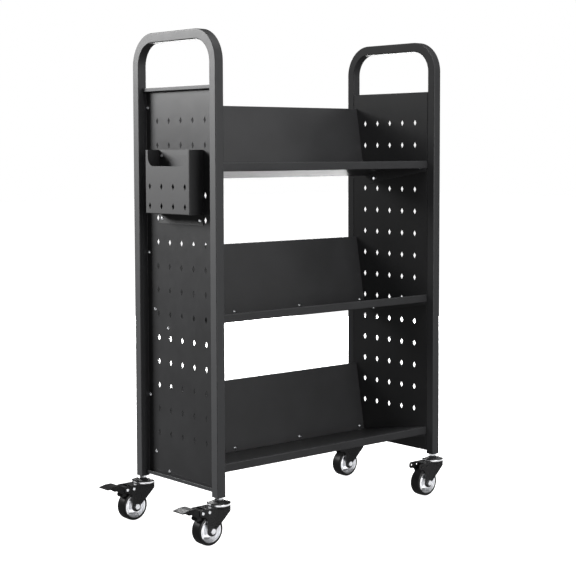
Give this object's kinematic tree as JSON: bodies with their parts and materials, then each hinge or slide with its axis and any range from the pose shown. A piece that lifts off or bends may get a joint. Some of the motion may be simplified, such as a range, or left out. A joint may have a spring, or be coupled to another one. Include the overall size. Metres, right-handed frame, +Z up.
{
  "type": "book cart",
  "caption": "Single-sided library book cart: bent square-tube ends with perforated panels, tilted shelves with back plates, a file box, and swivel casters with foot brakes.",
  "frame": {"origin": "on the floor, under the middle of the whole object's box", "axes": "+Z up; -Y the open front that books are taken from; +X along the shelves from the end with the file box to the other end"},
  "size_m": [0.914, 0.3798, 1.255],
  "materials": {
    "tube_coat": "satin black powder coat, fine orange peel",
    "sheet_coat": "matt black powder coat, fine texture",
    "fastener_zinc": "bright zinc plate",
    "race_zinc": "bright zinc plate",
    "caster_coat": "gloss black powder coat",
    "tyre_rubber": "smooth black polyurethane",
    "hub_chrome": "bright chromed core",
    "bearing_steel": "ground steel",
    "pedal_plastic": "gloss black moulded",
    "shoe_rubber": "matt black rubber",
    "insert_plastic": "matt black nylon"
  },
  "bodies": {
    "cart": {"left_end_frame": "tube_coat", "right_end_frame": "tube_coat", "left_side_panel": "sheet_coat", "right_side_panel": "sheet_coat", "bottom_shelf": "sheet_coat", "middle_shelf": "sheet_coat", "top_shelf": "sheet_coat", "bottom_back_plate": "sheet_coat", "middle_back_plate": "sheet_coat", "top_back_plate": "sheet_coat", "file_box": "sheet_coat", "shelf_end_screws": "fastener_zinc", "shelf_end_nuts": "fastener_zinc", "back_plate_screws": "fastener_zinc", "back_plate_nuts": "fastener_zinc", "file_box_screws": "fastener_zinc", "file_box_nuts": "fastener_zinc", "stem_inserts": "insert_plastic", "caster_stems": "fastener_zinc", "stem_nuts": "fastener_zinc", "upper_races": "caster_coat"},
    "front_left_caster": {"front_left_fork": "caster_coat", "front_left_race_ring": "race_zinc", "front_left_swivel_balls": "bearing_steel", "front_left_axle_bolt": "fastener_zinc", "front_left_axle_nut": "fastener_zinc", "front_left_brake_pins": "fastener_zinc"},
    "front_left_wheel": {"front_left_tyre": "tyre_rubber", "front_left_wheel_hub": "hub_chrome", "front_left_wheel_bearings": "bearing_steel"},
    "front_left_pedal": {"front_left_brake_pedal": "pedal_plastic", "front_left_brake_shoe": "shoe_rubber"},
    "rear_left_caster": {"rear_left_fork": "caster_coat", "rear_left_race_ring": "race_zinc", "rear_left_swivel_balls": "bearing_steel", "rear_left_axle_bolt": "fastener_zinc", "rear_left_axle_nut": "fastener_zinc", "rear_left_brake_pins": "fastener_zinc"},
    "rear_left_wheel": {"rear_left_tyre": "tyre_rubber", "rear_left_wheel_hub": "hub_chrome", "rear_left_wheel_bearings": "bearing_steel"},
    "rear_left_pedal": {"rear_left_brake_pedal": "pedal_plastic", "rear_left_brake_shoe": "shoe_rubber"},
    "front_right_caster": {"front_right_fork": "caster_coat", "front_right_race_ring": "race_zinc", "front_right_swivel_balls": "bearing_steel", "front_right_axle_bolt": "fastener_zinc", "front_right_axle_nut": "fastener_zinc"},
    "front_right_wheel": {"front_right_tyre": "tyre_rubber", "front_right_wheel_hub": "hub_chrome", "front_right_wheel_bearings": "bearing_steel"},
    "rear_right_caster": {"rear_right_fork": "caster_coat", "rear_right_race_ring": "race_zinc", "rear_right_swivel_balls": "bearing_steel", "rear_right_axle_bolt": "fastener_zinc", "rear_right_axle_nut": "fastener_zinc"},
    "rear_right_wheel": {"rear_right_tyre": "tyre_rubber", "rear_right_wheel_hub": "hub_chrome", "rear_right_wheel_bearings": "bearing_steel"}
  },
  "joints": [
    {"name": "front_left_swivel", "type": "hinge", "parent": "cart", "child": "front_left_caster", "pos_m": [-0.332, -0.16, 0.0935], "axis": [0, 0, 1], "continuous": true},
    {"name": "front_left_roll", "type": "hinge", "parent": "front_left_caster", "child": "front_left_wheel", "pos_m": [-0.368, -0.16, 0.0375], "axis": [0, 1, 0], "continuous": true},
    {"name": "front_left_brake", "type": "hinge", "parent": "front_left_caster", "child": "front_left_pedal", "pos_m": [-0.396, -0.16, 0.085], "axis": [0, -1, 0], "range_deg": [0, 25]},
    {"name": "rear_left_swivel", "type": "hinge", "parent": "cart", "child": "rear_left_caster", "pos_m": [-0.332, 0.16, 0.0935], "axis": [0, 0, 1], "continuous": true},
    {"name": "rear_left_roll", "type": "hinge", "parent": "rear_left_caster", "child": "rear_left_wheel", "pos_m": [-0.368, 0.16, 0.0375], "axis": [0, 1, 0], "continuous": true},
    {"name": "rear_left_brake", "type": "hinge", "parent": "rear_left_caster", "child": "rear_left_pedal", "pos_m": [-0.396, 0.16, 0.085], "axis": [0, -1, 0], "range_deg": [0, 25]},
    {"name": "front_right_swivel", "type": "hinge", "parent": "cart", "child": "front_right_caster", "pos_m": [0.427, -0.16, 0.0935], "axis": [0, 0, 1], "continuous": true},
    {"name": "front_right_roll", "type": "hinge", "parent": "front_right_caster", "child": "front_right_wheel", "pos_m": [0.391, -0.16, 0.0375], "axis": [0, 1, 0], "continuous": true},
    {"name": "rear_right_swivel", "type": "hinge", "parent": "cart", "child": "rear_right_caster", "pos_m": [0.427, 0.16, 0.0935], "axis": [0, 0, 1], "continuous": true},
    {"name": "rear_right_roll", "type": "hinge", "parent": "rear_right_caster", "child": "rear_right_wheel", "pos_m": [0.391, 0.16, 0.0375], "axis": [0, 1, 0], "continuous": true}
  ]
}
